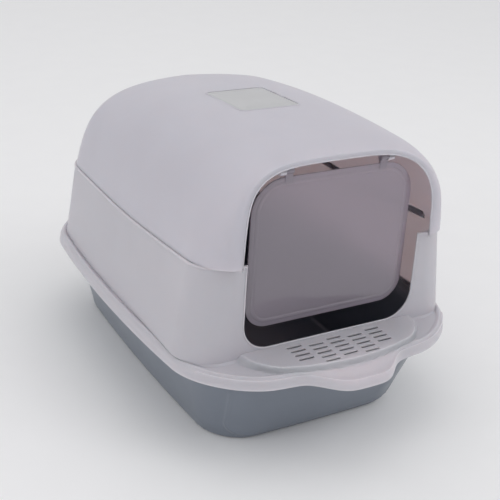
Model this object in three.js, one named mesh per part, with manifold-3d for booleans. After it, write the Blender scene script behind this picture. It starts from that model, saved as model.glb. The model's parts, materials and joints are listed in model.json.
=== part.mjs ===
// Hooded cat litter box: a deep tray, a lower hood with a doorway and a slotted step,
// a flip-top cover hinged at the back, a free-swinging see-through flap and a filter in the roof.
// Millimetres, +Z up, the doorway faces -Y. The origin is under the middle of the box, on the floor.
import * as THREE from 'three';
import { mergeVertices } from 'three/addons/utils/BufferGeometryUtils.js';
import Module from 'manifold-3d';

const wasm = await Module();
wasm.setup();

// ---- driving dimensions ----
const overallWidth = 400;
const overallLength = 593;
const overallHeight = 370;
const clearance = 0.4;           // between pieces that touch or nest

// tray
const trayWall = 3;
const trayFloor = 3.5;
const rimTop = 122;              // the hood stands on this rim
const rimThickness = 3;
const rimWidth = 15;
const rimLip = 4.5;              // turned-down edge of the rim
const traySideFlare = 38;
const trayFrontFlare = 55;
const trayBackFlare = 22;
const trayFootRadius = 54;       // plan radius of the corners at the floor
const panelRelief = 1.2;
const panelTopHalf = 137;        // the front relief widens with the wall
const panelBottomHalf = 124;
const panelTop = 106;
const panelBottom = 9;
const panelRadius = 22;

// lower hood
const hoodWall = 3;
const skirtDepth = 9.5;          // how far the flange hangs below the rim
const flangeInset = 10;          // from the flange edge to the hood wall
const flangeRadius = 91;
const sideBow = 19;
const endBow = 20;
const upperBow = 5;              // of the hood's sides above the seam, towards the back
const lipReach = 32;             // grab lip in the middle of the front edge
const lipHalfWidth = 57;
const porchLength = 60;          // from the flange's front edge to the doorway
const stepTop = 135;
const stepHalfWidth = 121;
const stepRadius = 44;
const stepFrontInset = 1.2;      // from the flange's front edge to the step's foot
const stepLip = 5;               // the step's own bulge over the grab lip
const stepFrontSlope = 0.4;      // the step's front is steeper than its sides
const sideLean = 0.135;
const backLean = 0.32;
const hoodCornerRadius = 46;
const hoodBackRadius = 80;
const backTightening = 0.2;      // the rear corners grow tighter towards the roof
const doorWidth = 240;
const doorRadius = 36;
const postTop = 248.5;
const seamHeight = 234;          // along the back and most of the sides
const ledge = 1.6;               // the cover stands this far inside the lower hood
const slotColumns = 5;
const slotLength = 20.4;
const slotWidth = 4;
const slotPitchX = 27.7;
const slotPitchY = 9.4;
const slotSetback = 11;          // from the doorway to the first row

// top cover
const coverWall = 2.8;
const shoulderStart = 236;       // height where the sides begin to round into the roof
const shoulderPower = 3.6;
const roofDropBack = 21;
const roofDropFront = 5;
const rimDrop = 5;               // further fall of the roof close to the arch's rim
const roofPeak = -78;            // place of the highest point along the box
const visorReach = 10;           // the cover's front edge stands this far before the doorway
const visorTurn = 20;            // the top of the rim stands this far behind its sides
const archWidth = 259;
const archDrop = 14;             // from the roof's highest level to the arch's top
const archTop = overallHeight - archDrop;
const archRise = 110;            // height over which the arch's sides close in
const archSpring = archTop - archRise;
const archPower = 4;
const archRim = 4;               // flat edge left round the opening
const visorTaper = 62;           // the cover narrows to the arch over this length

// rear hinge
const hingeSpread = 180;
const knuckleRadius = 6;
const knuckleWidth = 14;
const pinRadius = 2.4;

// flap
const flapWidth = 221;
const flapThickness = 2.4;
const flapEarReach = 7;          // from the flap's top edge up to its axis
const flapBottom = 156;
const flapRadius = 30;
const beadInset = 6;
const beadWidth = 4;
const beadHeight = 1.4;
const flapSetback = 15;          // from the doorway face to the flap's axis
const flapAxisDrop = 21;         // from the roof's highest level down to the flap's axis
const flapAxisHeight = overallHeight - flapAxisDrop;
const flapTop = flapAxisHeight - flapEarReach;
const flapEarSpread = 129;       // between the middles of the two ears
const flapEarWidth = 10;
const flapEarRadius = 5;
const flapPinRadius = 2.2;
const flapPinLength = 8;
const tabThickness = 8;

// filter in the roof
const filterWidth = 84;
const filterLength = 100;
const filterMiddle = 13;
const filterDepth = 16;
const filterRadius = 8;
const lidThickness = 2.5;
const lidLedge = 3;
const padThickness = 9;
const grilleThickness = 2;
const grilleSlots = 7;

// ---- derived places ----
const flangeBottom = rimTop - skirtDepth;
const flangeFront = -overallLength / 2 + lipReach;
const flangeBack = overallLength / 2;
const flangeHalfWidth = overallWidth / 2;
const doorFace = flangeFront + porchLength;
const doorHalfWidth = doorWidth / 2;
const wallFoot = rimTop + clearance;
const hingeHeight = seamHeight;
const flapAxisY = doorFace + flapSetback;

// ---- shape helpers ----
function clamp(value, low, high) {
  return Math.min(high, Math.max(low, value));
}

function solid(geometry) {
  geometry.deleteAttribute('normal');
  geometry.deleteAttribute('uv');
  const merged = mergeVertices(geometry, 1e-4);
  return new wasm.Manifold(new wasm.Mesh({
    numProp: 3,
    vertProperties: new Float32Array(merged.attributes.position.array),
    triVerts: new Uint32Array(merged.index.array),
  }));
}

function join(solids) {
  return solids.reduce((whole, piece) => whole.add(piece));
}

// A closed plan outline, counter-clockwise from above, given as its right-hand half from the
// middle of the front to the middle of the back. Sides and ends can bow out.
const lipSteps = 14;             // along half of an edge that carries the grab lip
const plainSteps = 4;
const cornerSteps = 6;
const sideSteps = 8;
const backSteps = 4;

function halfOutline(plan, frontSteps) {
  const { halfWidth, front, back } = plan;
  const frontRadius = Math.min(plan.frontRadius, halfWidth * 0.95);
  const frontDepth = plan.frontDepth ?? frontRadius;
  const backRadius = Math.min(plan.backRadius, halfWidth * 0.95);
  const points = [];
  for (let i = 0; i < frontSteps; i++) {
    points.push([(halfWidth - frontRadius) * i / frontSteps, front]);
  }
  for (let i = 0; i <= cornerSteps; i++) {
    const angle = Math.PI / 2 * i / cornerSteps;
    points.push([halfWidth - frontRadius * (1 - Math.sin(angle)),
      front + frontDepth * (1 - Math.cos(angle))]);
  }
  for (let i = 1; i < sideSteps; i++) {
    const part = i / sideSteps;
    points.push([halfWidth, (front + frontDepth) * (1 - part) + (back - backRadius) * part]);
  }
  for (let i = 0; i <= cornerSteps; i++) {
    const angle = Math.PI / 2 * i / cornerSteps;
    points.push([halfWidth - backRadius * (1 - Math.cos(angle)),
      back - backRadius * (1 - Math.sin(angle))]);
  }
  for (let i = 1; i <= backSteps; i++) {
    points.push([(halfWidth - backRadius) * (1 - i / backSteps), back]);
  }
  const middle = (front + back) / 2;
  const reach = (back - front) / 2;
  return points.map(([x, y]) => {
    const along = (y - middle) / reach;
    const across = x / halfWidth;
    const end = across ** 2 * Math.abs(along) ** 3;
    const bow = along < 0 ? (plan.frontSideBow ?? plan.sideBow ?? 0) : (plan.sideBow ?? 0);
    const lip = along < -0.5 ? (plan.lip ?? 0) * Math.exp(-((x / lipHalfWidth) ** 4)) : 0;
    return [
      x - bow * along ** 2 * across,
      y + (along < 0 ? (plan.frontBow ?? 0) : -(plan.backBow ?? 0)) * end - lip,
    ];
  });
}

// A solid through a stack of such outlines, from the bottom up. warp moves a point's height.
function loft(levels, warp = (x, y, z) => z) {
  const frontSteps = levels.some(({ plan }) => plan.lip) ? lipSteps : plainSteps;
  const rings = levels.map(({ plan, z }) => {
    const right = halfOutline(plan, frontSteps);
    const left = right.slice(1, -1).reverse().map(([x, y]) => [-x, y]);
    return [...right, ...left].map(([x, y]) => [x, y, warp(x, y, z)]);
  });
  const count = rings[0].length;
  const half = count / 2;
  const index = [];
  for (let level = 0; level + 1 < rings.length; level++) {
    for (let i = 0; i < count; i++) {
      const a = level * count + i;
      const b = level * count + (i + 1) % count;
      index.push(a, b, b + count, a, b + count, a + count);
    }
  }
  const capAcross = (offset, flip) => {
    for (let i = 0; i < half; i++) {
      const quad = [i, i + 1, count - i - 1, (count - i) % count].map((n) => n + offset);
      const triangles = [];
      if (i + 1 < half) triangles.push([quad[0], quad[1], quad[2]]);
      if (i > 0) triangles.push([quad[0], quad[2], quad[3]]);
      for (const [a, b, c] of triangles) {
        index.push(...(flip ? [a, c, b] : [a, b, c]));
      }
    }
  };
  capAcross(0, true);
  capAcross((rings.length - 1) * count, false);
  const geometry = new THREE.BufferGeometry();
  geometry.setAttribute('position', new THREE.Float32BufferAttribute(rings.flat(2), 3));
  geometry.setIndex(index);
  return solid(geometry);
}

function box(x0, x1, y0, y1, z0, z1) {
  const geometry = new THREE.BoxGeometry(x1 - x0, y1 - y0, z1 - z0);
  geometry.translate((x0 + x1) / 2, (y0 + y1) / 2, (z0 + z1) / 2);
  return solid(geometry);
}

function rodAlongX(radius, x0, x1, y, z, segments = 20) {
  const geometry = new THREE.CylinderGeometry(radius, radius, x1 - x0, segments);
  geometry.rotateZ(Math.PI / 2);
  geometry.translate((x0 + x1) / 2, y, z);
  return solid(geometry);
}

// A shape drawn in x and z, made into a solid between two places along y.
function plateAlongY(shape, y0, y1, curveSegments = 8) {
  const geometry = new THREE.ExtrudeGeometry(shape, {
    depth: y1 - y0, bevelEnabled: false, curveSegments,
  });
  geometry.rotateX(Math.PI / 2);
  geometry.translate(0, y1, 0);
  return solid(geometry);
}

function roundedRectangle(x0, x1, y0, y1, radius) {
  const shape = new THREE.Shape();
  shape.absarc(x1 - radius, y0 + radius, radius, -Math.PI / 2, 0);
  shape.absarc(x1 - radius, y1 - radius, radius, 0, Math.PI / 2);
  shape.absarc(x0 + radius, y1 - radius, radius, Math.PI / 2, Math.PI);
  shape.absarc(x0 + radius, y0 + radius, radius, Math.PI, Math.PI * 1.5);
  return shape;
}

function roundedTrapezoid(lowHalf, highHalf, z0, z1, radius) {
  const lean = (highHalf - lowHalf) / (z1 - z0) * radius;
  const shape = new THREE.Shape();
  shape.moveTo(-lowHalf + radius, z0);
  shape.lineTo(lowHalf - radius, z0);
  shape.quadraticCurveTo(lowHalf, z0, lowHalf + lean, z0 + radius);
  shape.lineTo(highHalf - lean, z1 - radius);
  shape.quadraticCurveTo(highHalf, z1, highHalf - radius, z1);
  shape.lineTo(-highHalf + radius, z1);
  shape.quadraticCurveTo(-highHalf, z1, -highHalf + lean, z1 - radius);
  shape.lineTo(-lowHalf - lean, z0 + radius);
  shape.quadraticCurveTo(-lowHalf, z0, -lowHalf + radius, z0);
  return shape;
}

// ---- tray ----
// Plan of the flange edge, drawn in by an inset: the tray's rim and the hood's skirt share it.
function flangePlan(inset, lip = 0) {
  return {
    halfWidth: flangeHalfWidth - inset,
    front: flangeFront + inset,
    back: flangeBack - inset,
    frontRadius: flangeRadius - inset,
    backRadius: flangeRadius - inset,
    sideBow,
    frontBow: endBow,
    backBow: endBow,
    lip,
  };
}

const rimInset = hoodWall + clearance + 1;
const trayTopInset = rimInset + rimWidth;

function trayPlan(z, inset) {
  const down = 1 - clamp(z / rimTop, 0, 1);
  const edge = flangePlan(trayTopInset + inset);
  const footRadius = Math.max(trayFootRadius - inset, 5);
  const radius = edge.frontRadius * (1 - down) + footRadius * down;
  return {
    ...edge,
    halfWidth: edge.halfWidth - traySideFlare * down,
    front: edge.front + trayFrontFlare * down,
    back: edge.back - trayBackFlare * down,
    frontRadius: radius,
    backRadius: radius,
    sideBow: sideBow * (1 - down) + sideBow * 0.4 * down,
    frontBow: endBow * (1 - down) + endBow * 0.15 * down,
    backBow: endBow * (1 - down) + endBow * 0.15 * down,
  };
}

function buildTray() {
  const footEdge = 4;
  const outer = loft([
    { plan: trayPlan(0, footEdge), z: 0 },
    { plan: trayPlan(footEdge, 0), z: footEdge },
    { plan: trayPlan(rimTop / 2, 0), z: rimTop / 2 },
    { plan: trayPlan(rimTop, 0), z: rimTop - clearance / 2 },
  ]);
  const inner = loft([
    { plan: trayPlan(trayFloor, trayWall + footEdge), z: trayFloor },
    { plan: trayPlan(trayFloor + footEdge, trayWall), z: trayFloor + footEdge },
    { plan: trayPlan(rimTop / 2, trayWall), z: rimTop / 2 },
    { plan: trayPlan(rimTop, trayWall), z: rimTop },
    { plan: trayPlan(rimTop, trayWall), z: rimTop + 5 },
  ]);
  const rimOuter = loft([
    { plan: flangePlan(rimInset), z: rimTop - rimThickness - rimLip },
    { plan: flangePlan(rimInset), z: rimTop },
  ]);
  const underRim = loft([
    { plan: flangePlan(rimInset + trayWall), z: rimTop - rimThickness - rimLip - 2 },
    { plan: flangePlan(rimInset + trayWall), z: rimTop - rimThickness },
  ]);
  // The relief panel is the front wall's own form, a little proud, seen through a rounded frame.
  const proud = loft([
    { plan: trayPlan(panelBottom / 2, -panelRelief), z: panelBottom / 2 },
    { plan: trayPlan(rimTop, -panelRelief), z: rimTop - rimThickness },
  ]);
  const frame = plateAlongY(
    roundedTrapezoid(panelBottomHalf, panelTopHalf, panelBottom, panelTop, panelRadius),
    flangeFront, flangeFront + trayFrontFlare + trayTopInset + endBow + 12);
  const shell = join([outer, rimOuter.subtract(underRim), proud.intersect(frame)]);
  return shell.subtract(inner);
}

// ---- lower hood and top cover: one form ----
function crownHeight(inset) {
  return overallHeight + ledge - inset;
}

function hoodHalfWidth(z, inset) {
  const lean = flangeHalfWidth - flangeInset - (z - rimTop) * sideLean - inset;
  const crown = crownHeight(inset);
  const part = clamp((z - shoulderStart) / (crown - shoulderStart), 0, 0.9999);
  return lean * (1 - part ** shoulderPower) ** (1 / shoulderPower);
}

function hoodPlan(z, inset, front) {
  const halfWidth = hoodHalfWidth(z, inset);
  const backRadius = hoodBackRadius - inset - backTightening * (z - rimTop);
  const foot = 1 - clamp((z - rimTop) / (seamHeight - rimTop), 0, 1);
  return {
    halfWidth,
    front: front + inset,
    back: flangeBack - flangeInset - backLean * (z - rimTop) - inset,
    frontRadius: hoodCornerRadius - inset,
    backRadius,
    sideBow: upperBow + (sideBow - upperBow) * foot,
    frontSideBow: 0,
    frontBow: 0,
    backBow: endBow * 0.8,
  };
}

// The roof falls a little towards both ends.
function roofFall(x, y, z) {
  const rise = clamp((z - shoulderStart) / (overallHeight - shoulderStart), 0, 1);
  const behind = clamp((y - roofPeak) / (flangeBack - 110 - roofPeak), 0, 1.2);
  const before = clamp((roofPeak - y) / (roofPeak - doorFace), 0, 1.2);
  const visor = clamp((doorFace - visorReach + visorTurn + visorTaper - y) / visorTaper, 0, 1.2);
  const drop = roofDropBack * behind ** 2 + roofDropFront * before ** 2 + rimDrop * visor ** 3;
  return z - drop * rise ** 1.5;
}

function roofHeight(y) {
  return roofFall(0, y, overallHeight);
}

function hoodForm(inset, lowest) {
  return loft([lowest, (lowest + postTop) / 2, postTop + 12].map((z) => (
    { plan: hoodPlan(z, inset, doorFace), z })));
}

const domeSteps = 11;
function coverForm(inset, lowest) {
  const crown = crownHeight(inset);
  const heights = [lowest];
  for (let i = 0; i <= domeSteps; i++) {
    const angle = Math.PI / 2 * 0.95 * i / domeSteps;
    heights.push(shoulderStart + (crown - shoulderStart) * Math.sin(angle) ** (2 / shoulderPower));
  }
  return loft(heights.map((z) => {
    const rise = clamp((z - shoulderStart) / (crown - shoulderStart), 0, 1);
    const front = doorFace - visorReach + visorTurn * clamp((rise - 0.4) / 0.6, 0, 1) ** 2;
    const plan = hoodPlan(z, inset, front);
    plan.frontRadius = Math.max(plan.halfWidth - archHalfWidth(roofFall(0, front, z), archRim), 5);
    plan.frontDepth = visorTaper - inset;
    return { plan, z };
  }), roofFall);
}

// Half the width of the arched opening at a height, or of a line the given margin outside it.
function archHalfWidth(z, margin) {
  const part = clamp((z - archSpring) / (archTop + margin - archSpring), 0, 1);
  return (archWidth / 2 + margin) * (1 - part ** archPower) ** (1 / archPower);
}

// The seam is level at the back and rises to the tops of the door posts.
function seamAt(y) {
  const start = 20;
  const part = clamp((start - y) / (start - doorFace), 0, 1);
  return seamHeight + (postTop - seamHeight) * part ** 1.3;
}

// Everything between two offsets from the seam, across the full width.
function seamBand(below, above) {
  const steps = 14;
  const front = -overallLength / 2 - 10;
  const back = overallLength / 2 + 10;
  const places = [];
  for (let i = 0; i <= steps; i++) {
    places.push(front + (back - front) * i / steps);
  }
  const shape = new THREE.Shape();
  places.forEach((y, i) => {
    const z = seamAt(y) + below;
    if (i === 0) shape.moveTo(y, z);
    else shape.lineTo(y, z);
  });
  places.reverse().forEach((y) => shape.lineTo(y, seamAt(y) + above));
  const geometry = new THREE.ExtrudeGeometry(shape, {
    depth: overallWidth + 20, bevelEnabled: false,
  });
  geometry.rotateX(Math.PI / 2);
  geometry.rotateZ(Math.PI / 2);
  geometry.translate(-overallWidth / 2 - 10, 0, 0);
  return solid(geometry);
}

function doorway() {
  return roundedRectangle(-doorHalfWidth, doorHalfWidth, stepTop, overallHeight, doorRadius);
}

function arch() {
  const steps = 12;
  const shape = new THREE.Shape();
  shape.moveTo(-archWidth / 2, seamHeight - 20);
  shape.lineTo(archWidth / 2, seamHeight - 20);
  const side = [];
  for (let i = 0; i <= steps; i++) {
    const z = archSpring + (archTop - archSpring) * Math.sin(Math.PI / 2 * i / steps) ** (2 / archPower);
    side.push([archHalfWidth(z, 0), z]);
  }
  side.forEach(([x, z]) => shape.lineTo(x, z));
  side.slice(0, -1).reverse().forEach(([x, z]) => shape.lineTo(-x, z));
  return shape;
}

// ---- rear hinges ----
const hingeY = hoodPlan(hingeHeight, 0, doorFace).back + knuckleRadius + 2.5;
const hingeSides = [{ name: 'left', x: -hingeSpread / 2 }, { name: 'right', x: hingeSpread / 2 }];

function hingeBore(x) {
  const reach = knuckleWidth * 1.5 + 10;
  return rodAlongX(pinRadius + clearance, x - reach, x + reach, hingeY, hingeHeight);
}

// A round knuckle with a web that runs up or down to the wall; inside is the room kept free.
function knuckle(x0, x1, up, inside) {
  const direction = up ? 1 : -1;
  const web = new THREE.Shape();
  const points = [[-22, 0.5], [knuckleRadius - 0.6, 0.5], [knuckleRadius * 0.7, 5], [-22, 22]]
    .map(([y, z]) => [hingeY + y, hingeHeight + direction * z]);
  if (!up) points.reverse();
  points.forEach(([y, z], i) => (i === 0 ? web.moveTo(y, z) : web.lineTo(y, z)));
  const geometry = new THREE.ExtrudeGeometry(web, { depth: x1 - x0, bevelEnabled: false });
  geometry.rotateX(Math.PI / 2);
  geometry.rotateZ(Math.PI / 2);
  geometry.translate(x0, 0, 0);
  return solid(geometry).subtract(inside).add(
    rodAlongX(knuckleRadius, x0, x1, hingeY, hingeHeight, 24));
}

function buildHoodBase() {
  const gutter = rimTop + hoodWall + clearance;
  const outer = join([
    loft([
      { plan: flangePlan(0, lipReach), z: flangeBottom },
      { plan: flangePlan(0.6, lipReach), z: rimTop - 1 },
      { plan: flangePlan(5, lipReach * 0.3), z: gutter + 2.6 },
      { plan: flangePlan(8, 0), z: gutter + 1.4 },
      { plan: flangePlan(10, 0), z: gutter },
    ]),
    hoodForm(0, flangeBottom + 3),
    loft([
      { plan: stepPlan(0), z: gutter - 3 },
      { plan: stepPlan(3), z: stepTop - 6 },
      { plan: stepPlan(5.5), z: stepTop - 2.2 },
      { plan: stepPlan(8), z: stepTop - 0.6 },
      { plan: stepPlan(11), z: stepTop },
    ]),
  ]);
  const inner = join([
    loft([
      { plan: flangePlan(hoodWall, lipReach), z: flangeBottom - 5 },
      { plan: flangePlan(hoodWall, lipReach), z: rimTop - 2.6 },
      { plan: flangePlan(hoodWall, 4), z: wallFoot },
    ]),
    hoodForm(hoodWall, flangeBottom - 5),
    loft([
      { plan: stepPlan(hoodWall + 3), z: gutter - 12 },
      { plan: stepPlan(hoodWall + 8), z: stepTop - hoodWall },
    ]),
  ]);
  const door = plateAlongY(doorway(), doorFace - 40, doorFace + 30);
  const wholeHeight = seamBand(-overallHeight, -clearance / 2);
  const shell = outer.subtract(inner).subtract(door).intersect(wholeHeight);

  // Locating lip inside the cover's wall, behind the narrowing front.
  const coverInner = ledge + coverWall + clearance;
  const lip = hoodForm(coverInner, 200).subtract(hoodForm(coverInner + 2, 195))
    .intersect(seamBand(-9, 6));
  const root = hoodForm(hoodWall - 0.5, 200).subtract(hoodForm(coverInner + 2, 195))
    .intersect(seamBand(-9, -2));
  const railFront = doorFace - visorReach + visorTaper + 2;
  const behindPosts = box(-overallWidth, overallWidth, railFront, overallLength, 0, overallHeight);
  const rail = lip.add(root).intersect(behindPosts);

  const knuckles = hingeSides.flatMap(({ x }) => [-1, 1].map((side) => {
    const near = x + side * (knuckleWidth / 2 + clearance);
    const far = near + side * knuckleWidth;
    return knuckle(Math.min(near, far), Math.max(near, far), false, inner);
  }));
  let whole = join([shell, rail, ...knuckles]);
  whole = hingeSides.reduce((body, { x }) => body.subtract(hingeBore(x)), whole);
  return whole.subtract(join(stepSlots()));
}

function stepPlan(inset) {
  return {
    halfWidth: stepHalfWidth + 9 - inset,
    front: flangeFront + stepFrontInset + inset * stepFrontSlope,
    back: doorFace + 6,
    frontRadius: stepRadius,
    backRadius: 4,
    frontBow: endBow * 0.4,
    lip: stepLip,
  };
}

// Rows stand across the step; every second column is half a row further forward.
function stepSlots() {
  const slots = [];
  for (let column = 0; column < slotColumns; column++) {
    const shifted = column % 2 === 1;
    const outermost = column === 0 || column === slotColumns - 1;
    const rows = outermost ? 4 : 5;
    const x = (column - (slotColumns - 1) / 2) * slotPitchX;
    for (let row = 0; row < rows; row++) {
      const y = doorFace - slotSetback - (row + (shifted ? 0.5 : 0)) * slotPitchY;
      slots.push(box(x - slotLength / 2, x + slotLength / 2, y - slotWidth / 2, y + slotWidth / 2,
        stepTop - hoodWall - 3, stepTop + 3));
    }
  }
  return slots;
}

// ---- filter place in the roof: its own upright frame, tilted to the roof's slope ----
const filterFront = filterMiddle - filterLength / 2;
const filterBack = filterMiddle + filterLength / 2;
const filterTilt = Math.atan2(roofHeight(filterBack) - roofHeight(filterFront), filterLength);
const filterHeight = (roofHeight(filterBack) + roofHeight(filterFront)) / 2 - 0.2;

function inRoof(geometry) {
  geometry.rotateX(filterTilt);
  geometry.translate(0, filterMiddle, filterHeight);
  return solid(geometry);
}

function filterBlock(inset, z0, z1) {
  const radius = Math.max(filterRadius - inset, 1);
  const geometry = new THREE.ExtrudeGeometry(
    roundedRectangle(-filterWidth / 2 + inset, filterWidth / 2 - inset,
      -filterLength / 2 + inset, filterLength / 2 - inset, radius),
    { depth: z1 - z0, bevelEnabled: false, curveSegments: 5 });
  geometry.translate(0, 0, z0);
  return inRoof(geometry);
}

function grilleSlot(place) {
  const width = filterWidth - 2 * lidLedge - 14;
  const geometry = new THREE.BoxGeometry(width, 5, grilleThickness + 4);
  geometry.translate(0, place, -filterDepth - grilleThickness / 2);
  return inRoof(geometry);
}

function buildTopCover() {
  const outer = coverForm(ledge, seamHeight - 12);
  const inner = coverForm(ledge + coverWall, seamHeight - 16);
  const above = seamBand(clearance / 2, overallHeight);
  const opening = plateAlongY(arch(), doorFace - visorReach - 30, doorFace + 26);
  let shell = outer.subtract(inner).intersect(above).subtract(opening);

  const well = filterBlock(-2.5, -filterDepth - grilleThickness, -0.5)
    .add(filterBlock(-2.5, -2, 0.6));
  const lidSeat = filterBlock(0, -lidThickness - clearance, 10);
  const padRoom = filterBlock(lidLedge, -filterDepth, 5);
  const slotStep = (filterLength - 2 * lidLedge - 10) / grilleSlots;
  const slots = [];
  for (let i = 0; i < grilleSlots; i++) {
    slots.push(grilleSlot((i - (grilleSlots - 1) / 2) * slotStep));
  }
  shell = shell.add(well).subtract(lidSeat).subtract(padRoom).subtract(join(slots));

  const knuckles = hingeSides.map(({ x }) => (
    knuckle(x - knuckleWidth / 2, x + knuckleWidth / 2, true, inner)));
  shell = join([shell, ...knuckles]);
  shell = hingeSides.reduce((body, { x }) => body.subtract(hingeBore(x)), shell);

  const tabs = [-1, 1].map((side) => {
    const near = side * (flapEarSpread / 2 + flapEarWidth / 2 + clearance);
    const far = near + side * tabThickness;
    const [x0, x1] = [Math.min(near, far), Math.max(near, far)];
    return box(x0, x1, flapAxisY - 5, flapAxisY + 5, flapAxisHeight, overallHeight)
      .add(rodAlongX(5, x0, x1, flapAxisY, flapAxisHeight));
  });
  const insideRoof = coverForm(ledge + coverWall / 2, seamHeight - 16);
  shell = shell.add(join(tabs).intersect(insideRoof));
  const tabEnd = flapEarSpread / 2 + flapEarWidth / 2 + clearance + tabThickness;
  const pinHoles = rodAlongX(flapPinRadius + clearance, -tabEnd, tabEnd, flapAxisY, flapAxisHeight,
    16);
  return shell.subtract(pinHoles);
}

// ---- flap ----
function buildFlap() {
  const half = flapWidth / 2;
  const y0 = flapAxisY - flapThickness / 2;
  const y1 = flapAxisY + flapThickness / 2;
  const topRadius = flapRadius * 1.4;
  const outline = new THREE.Shape();
  outline.absarc(half - flapRadius, flapBottom + flapRadius, flapRadius, -Math.PI / 2, 0);
  outline.absarc(half - topRadius, flapTop - topRadius, topRadius, 0, Math.PI / 2);
  outline.absarc(-half + topRadius, flapTop - topRadius, topRadius, Math.PI / 2, Math.PI);
  outline.absarc(-half + flapRadius, flapBottom + flapRadius, flapRadius, Math.PI, Math.PI * 1.5);
  const panel = plateAlongY(outline, y0, y1);
  const bead = (inset) => roundedRectangle(-half + inset, half - inset,
    flapBottom + inset, flapTop - inset, flapRadius * 1.2 - inset / 2);
  const ring = plateAlongY(bead(beadInset), y0 - beadHeight, y1 + beadHeight, 6)
    .subtract(plateAlongY(bead(beadInset + beadWidth), y0 - 5, y1 + 5, 6));
  const ears = [-1, 1].map((side) => {
    const middle = side * flapEarSpread / 2;
    const pinEnd = middle + side * (flapEarWidth / 2 + flapPinLength - 1);
    return join([
      box(middle - flapEarWidth / 2, middle + flapEarWidth / 2, y0 - 0.6, y1 + 0.6,
        flapTop - 8, flapAxisHeight),
      rodAlongX(flapEarRadius - 1, middle - flapEarWidth / 2, middle + flapEarWidth / 2,
        flapAxisY, flapAxisHeight),
      rodAlongX(flapPinRadius, Math.min(middle, pinEnd), Math.max(middle, pinEnd),
        flapAxisY, flapAxisHeight, 16),
    ]);
  });
  return join([panel, ring, ...ears]);
}

// ---- the object ----
const whitePlastic = { color: '#d9d7dc', roughness: 0.42, metalness: 0 };
const greyPlastic = { color: '#6f757d', roughness: 0.5, metalness: 0 };
const smokyPlastic = { color: '#8d868c', roughness: 0.15, metalness: 0, opacity: 0.6 };
const lidPlastic = { color: '#c3c6c2', roughness: 0.35, metalness: 0, opacity: 0.8 };
const carbonFoam = { color: '#2b2c2e', roughness: 0.95, metalness: 0 };

const litterBox = new THREE.Group();

function addPiece(name, body, look) {
  const mesh = body.getMesh();
  const geometry = new THREE.BufferGeometry();
  geometry.setAttribute('position', new THREE.BufferAttribute(
    new Float32Array(mesh.vertProperties), 3));
  geometry.setIndex(new THREE.BufferAttribute(new Uint32Array(mesh.triVerts), 1));
  geometry.computeVertexNormals();
  const piece = new THREE.Mesh(geometry, new THREE.MeshStandardMaterial({
    ...look, transparent: look.opacity !== undefined,
  }));
  piece.name = name;
  litterBox.add(piece);
}

addPiece('litter_tray', buildTray(), greyPlastic);
addPiece('hood_base', buildHoodBase(), whitePlastic);
addPiece('top_cover', buildTopCover(), whitePlastic);
addPiece('flap_door', buildFlap(), smokyPlastic);
addPiece('filter_lid', filterBlock(clearance, -lidThickness, 0), lidPlastic);
addPiece('filter_pad', filterBlock(lidLedge + clearance * 2,
  -lidThickness - clearance - padThickness, -lidThickness - clearance), carbonFoam);
for (const { name, x } of hingeSides) {
  const reach = knuckleWidth * 1.5 + clearance;
  addPiece(`hinge_pin_${name}`, rodAlongX(pinRadius, x - reach, x + reach, hingeY, hingeHeight),
    whitePlastic);
}

export default litterBox;
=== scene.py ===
"""A hooded cat litter box: the looks of its moulded pieces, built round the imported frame."""

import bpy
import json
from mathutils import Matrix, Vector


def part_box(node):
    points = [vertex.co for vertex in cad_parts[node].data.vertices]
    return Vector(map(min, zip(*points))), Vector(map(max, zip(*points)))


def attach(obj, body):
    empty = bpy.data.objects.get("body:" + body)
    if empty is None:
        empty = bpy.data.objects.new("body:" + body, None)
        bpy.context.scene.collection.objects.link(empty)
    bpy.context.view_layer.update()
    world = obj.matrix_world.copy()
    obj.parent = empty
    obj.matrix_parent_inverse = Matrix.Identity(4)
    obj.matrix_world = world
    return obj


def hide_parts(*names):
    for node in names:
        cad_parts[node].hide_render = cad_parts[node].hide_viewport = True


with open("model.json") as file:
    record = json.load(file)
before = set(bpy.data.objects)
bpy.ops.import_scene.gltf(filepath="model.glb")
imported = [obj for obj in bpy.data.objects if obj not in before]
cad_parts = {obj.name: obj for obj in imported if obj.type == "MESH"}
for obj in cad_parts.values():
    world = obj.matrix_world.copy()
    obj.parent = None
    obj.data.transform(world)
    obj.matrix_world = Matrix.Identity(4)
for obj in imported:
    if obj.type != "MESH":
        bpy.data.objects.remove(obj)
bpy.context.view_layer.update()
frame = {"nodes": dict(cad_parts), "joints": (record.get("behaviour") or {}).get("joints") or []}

import json
import math

import bpy
from mathutils import Matrix, Vector

bl_info = {
    "name": "Hooded litter box",
    "version": (1, 0, 0),
    "blender": (4, 5, 0),
    "location": "View3D > Sidebar > Litter box",
    "description": "Builds the pieces of a hooded cat litter box and its plain stage",
    "category": "Object",
}

mm = 0.001
joints = {joint["name"]: joint for joint in frame["joints"]}
tray_low, tray_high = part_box("litter_tray")
hood_low, hood_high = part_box("hood_base")
cover_low, cover_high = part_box("top_cover")
flap_low, flap_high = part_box("flap_door")
lid_low, lid_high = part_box("filter_lid")
pad_low, pad_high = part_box("filter_pad")
hinge_axis = Vector(joints["cover_hinge"]["pos_m"])
flap_axis = Vector(joints["flap_swing"]["pos_m"])
roof_normal = Vector(joints["filter_lift"]["axis"])

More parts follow.
